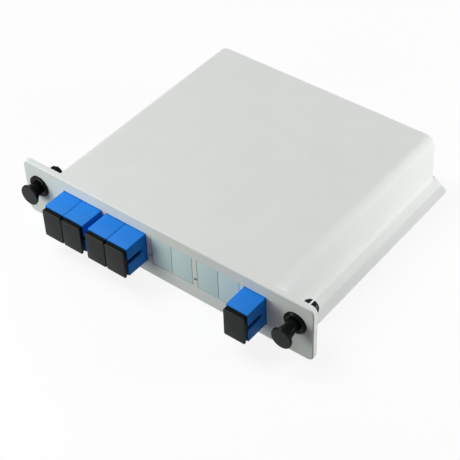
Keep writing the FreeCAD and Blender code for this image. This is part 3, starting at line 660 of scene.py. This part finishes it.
def add_screws():
    """The two cover screws, with softly domed heads and cross recesses."""
    whole = bmesh.new()
    low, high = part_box("cover_screws")
    y = high.y / MM - HEAD_R
    bottom = low.z / MM
    length = (high.z - low.z) / MM
    for x in (low.x / MM + HEAD_R, high.x / MM - HEAD_R):
        line = [(AXIS_R, 0), *HEAD_LINE, (HEAD_R, HEAD_H), (SHANK_R, HEAD_H), (SHANK_R, length - POINT_L),
                (POINT_R, length), (AXIS_R, length)]
        bm = bmesh.new()
        rings = [[(x + r * math.cos(a), y + r * math.sin(a), bottom + up)
                  for a in (2 * math.pi * i / SMALL_STEPS for i in range(SMALL_STEPS))] for r, up in line]
        loft(bm, rings)
        body = mesh_of("screw", bm)
        for wide, deep in ((CROSS_L, CROSS_W), (CROSS_W, CROSS_L)):
            bm = bmesh.new()
            rings = []
            for up, share in CROSS_LINE:
                rings.append([(x + sx * wide / 2 * share, y + sy * deep / 2 * share, bottom + up)
                              for sx, sy in ((-1, -1), (1, -1), (1, 1), (-1, 1))])
            loft(bm, rings)
            body = carved(body, mesh_of("cross", bm))
        whole.from_mesh(body)
    mesh = plain_mesh("screws", whole)
    smoothed(mesh)
    piece("screws", mesh, "screw_steel", "case", ["cover_screws"])


TUBE_R = 2.3
TUBE_BORE_R = 1.26
TUBE_L = 13.0
TUBE_EDGE = 0.3              # chamfers at the tube's end, outside
TUBE_LEAD = 0.25             # and inside
FLANGE_T = 2.0
FLANGE_CORNER = 0.2
ARM_W = 3.0
ARM_LINE = ((0.5, 2.75), (7.2, 2.75), (7.2, 2.3), (8.2, 2.75), (8.2, 3.35), (8.0, 3.55), (0.5, 3.55))


def add_holders():
    """Sleeve holders: a flange, a round tube with its ferrule bore, and four hooked arms."""
    half = FLANGE_T / 2
    end = TUBE_L / 2
    tube = [(TUBE_BORE_R, half), (TUBE_R, half), (TUBE_R, end - TUBE_EDGE), (TUBE_R - TUBE_EDGE, end),
            (TUBE_BORE_R + TUBE_LEAD, end), (TUBE_BORE_R, end - TUBE_LEAD)]
    for port in PORTS:
        node = "sleeve_holder_" + port
        x, y, z = centre(node)
        wide = extent(node, 0)
        high = extent(node, 2)
        bm = bmesh.new()
        rows = [(y - half, wide, high, FLANGE_CORNER), (y + half, wide, high, FLANGE_CORNER)]
        loft(bm, boxed_rings(x, z, rows))
        flange = mesh_of("flange", bm)
        bm = bmesh.new()
        bore = [(AXIS_R, -end - CUT_PAST), (TUBE_BORE_R, -end - CUT_PAST),
                (TUBE_BORE_R, end + CUT_PAST), (AXIS_R, end + CUT_PAST)]
        lathe(bm, bore, x, z, y)
        flange = carved(flange, mesh_of("bore", bm))
        bm = bmesh.new()
        bm.from_mesh(flange)
        for ahead in (-1, 1):
            lathe(bm, [(r, ahead * a) for r, a in tube], x, z, y, closed=True, steps=SMALL_STEPS)
            for up in (-1, 1):
                rings = [[(x + side * ARM_W / 2, y + ahead * a, z + up * b) for a, b in ARM_LINE]
                         for side in (-1, 1)]
                loft(bm, rings)
        bmesh.ops.recalc_face_normals(bm, faces=bm.faces)
        mesh = plain_mesh("holder_" + port, bm)
        smoothed(mesh)
        piece("holder_" + port, mesh, "holder_plastic", "case", [node])


def add_camera():
    """The photograph's camera, rolled a little about its line of sight."""
    camera = bpy.data.objects.new("camera", bpy.data.cameras.new("camera"))
    bpy.context.scene.collection.objects.link(camera)
    camera.data.lens = CAMERA_LENS
    camera.data.sensor_width = SENSOR
    camera.data.clip_start = CLIP_NEAR
    camera.data.clip_end = CLIP_FAR
    aim = Vector(CAMERA_AIM).normalized()
    level = aim.cross(Vector((0, 0, 1))).normalized()
    right = Matrix.Rotation(math.radians(CAMERA_ROLL), 3, aim) @ level
    up = right.cross(aim)
    turn = Matrix((right, up, -aim)).transposed().to_4x4()
    camera.matrix_world = Matrix.Translation(CAMERA_PLACE) @ turn
    bpy.context.scene.camera = camera


def seen_white(tree, shader_output, share):
    """Mix a shader with plain white, by the given share, where the camera, gloss or glass sees it."""
    path = tree.nodes.new("ShaderNodeLightPath")
    seen = path.outputs["Is Camera Ray"]
    for ray in ("Is Glossy Ray", "Is Transmission Ray"):
        either = tree.nodes.new("ShaderNodeMath")
        either.operation = "MAXIMUM"
        tree.links.new(seen, either.inputs[0])
        tree.links.new(path.outputs[ray], either.inputs[1])
        seen = either.outputs[0]
    scaled = tree.nodes.new("ShaderNodeMath")
    scaled.operation = "MULTIPLY"
    scaled.inputs[1].default_value = share
    tree.links.new(seen, scaled.inputs[0])
    white = tree.nodes.new("ShaderNodeEmission")
    mix = tree.nodes.new("ShaderNodeMixShader")
    tree.links.new(scaled.outputs[0], mix.inputs[0])
    tree.links.new(shader_output, mix.inputs[1])
    tree.links.new(white.outputs[0], mix.inputs[2])
    return mix.outputs[0]


FLOOR_SIZE = 6.0             # metres
FLOOR_DROP = 0.02 * MM       # metres, so that the floor doesn't lie in the plane of the object's foot
FLOOR_BOUNCE = 0.2           # grey that the floor throws back on the object
FLOOR_SEEN = 0.9             # grey that the camera sees, with the object's shadow on it
FLOOR_WHITE = 0.85           # share of plain white over that


def add_floor():
    """A floor that looks white, keeps the object's shadow and throws little light back on it."""
    mesh = bpy.data.meshes.new("floor")
    half = FLOOR_SIZE / 2
    corners = [(-half, -half, 0), (half, -half, 0), (half, half, 0), (-half, half, 0)]
    mesh.from_pydata(corners, [], [(0, 1, 2, 3)])
    floor = bpy.data.objects.new("floor", mesh)
    floor.location.z = CAD_BOX[0].z - FLOOR_DROP
    bpy.context.scene.collection.objects.link(floor)
    material, tree, shader = node_tree("floor")
    path = tree.nodes.new("ShaderNodeLightPath")
    tone = tree.nodes.new("ShaderNodeMixRGB")
    tone.inputs["Color1"].default_value = (FLOOR_BOUNCE, FLOOR_BOUNCE, FLOOR_BOUNCE, 1)
    tone.inputs["Color2"].default_value = (FLOOR_SEEN, FLOOR_SEEN, FLOOR_SEEN, 1)
    tree.links.new(path.outputs["Is Camera Ray"], tone.inputs["Fac"])
    tree.links.new(tone.outputs["Color"], shader.inputs["Base Color"])
    shader.inputs["Roughness"].default_value = 1.0
    shader.inputs["Specular IOR Level"].default_value = 0.0
    output = tree.nodes["Material Output"]
    tree.links.new(seen_white(tree, shader.outputs[0], FLOOR_WHITE), output.inputs["Surface"])
    mesh.materials.append(material)


WORLD_LEVEL = 0.18


def add_world():
    """A dim even light on the object, with white behind it."""
    world = bpy.data.worlds.new("world")
    bpy.context.scene.world = world
    world.use_nodes = True
    tree = world.node_tree
    dim = tree.nodes["Background"]
    dim.inputs["Color"].default_value = (1, 1, 1, 1)
    dim.inputs["Strength"].default_value = WORLD_LEVEL
    tree.links.new(seen_white(tree, dim.outputs[0], 1.0), tree.nodes["World Output"].inputs["Surface"])


# Lamps: place, aim and width in metres, power in watts, and a tint
WHITE = (1.0, 1.0, 1.0)
FRONT_TINT = (0.93, 1.0, 0.94)
LAMPS = {
    "overhead": ((0.0, 0.0, 1.2), (0, 0, 0), 1.0, 0.8, WHITE),
    "overhead_left": ((-0.6, -0.1, 0.9), (0, 0, 0), 0.6, 8.1, WHITE),
    "front_left": ((-0.30, -0.42, 0.10), (-0.04, -0.04, 0.01), 0.25, 0.50, FRONT_TINT),
    "front_near": ((-0.09, -0.20, 0.05), (-0.02, -0.04, 0.01), 0.10, 0.125, FRONT_TINT),
    "right": ((0.50, 0.02, 0.12), (0.04, -0.02, 0.01), 0.30, 0.10, WHITE),
    "rear_right": ((0.36, 0.26, 0.055), (0.05, 0.03, 0.01), 0.20, 2.25, WHITE),
}


def add_lamp(name, place, aim, size, power, tint):
    """A soft square lamp."""
    data = bpy.data.lights.new(name, "AREA")
    data.shape = "SQUARE"
    data.size = size
    data.energy = power
    data.color = tint
    lamp = bpy.data.objects.new(name, data)
    bpy.context.scene.collection.objects.link(lamp)
    lamp.location = place
    lamp.rotation_euler = (Vector(aim) - Vector(place)).to_track_quat("-Z", "Y").to_euler()


bpy.context.scene.view_settings.view_transform = "Standard"
dress_nodes()
add_plunger("left")
add_plunger("right")
add_grommets()
add_caps()
add_adapters()
add_blanks()
add_screws()
add_holders()
add_camera()
add_floor()
add_world()
for lamp_name, settings in LAMPS.items():
    add_lamp(lamp_name, *settings)
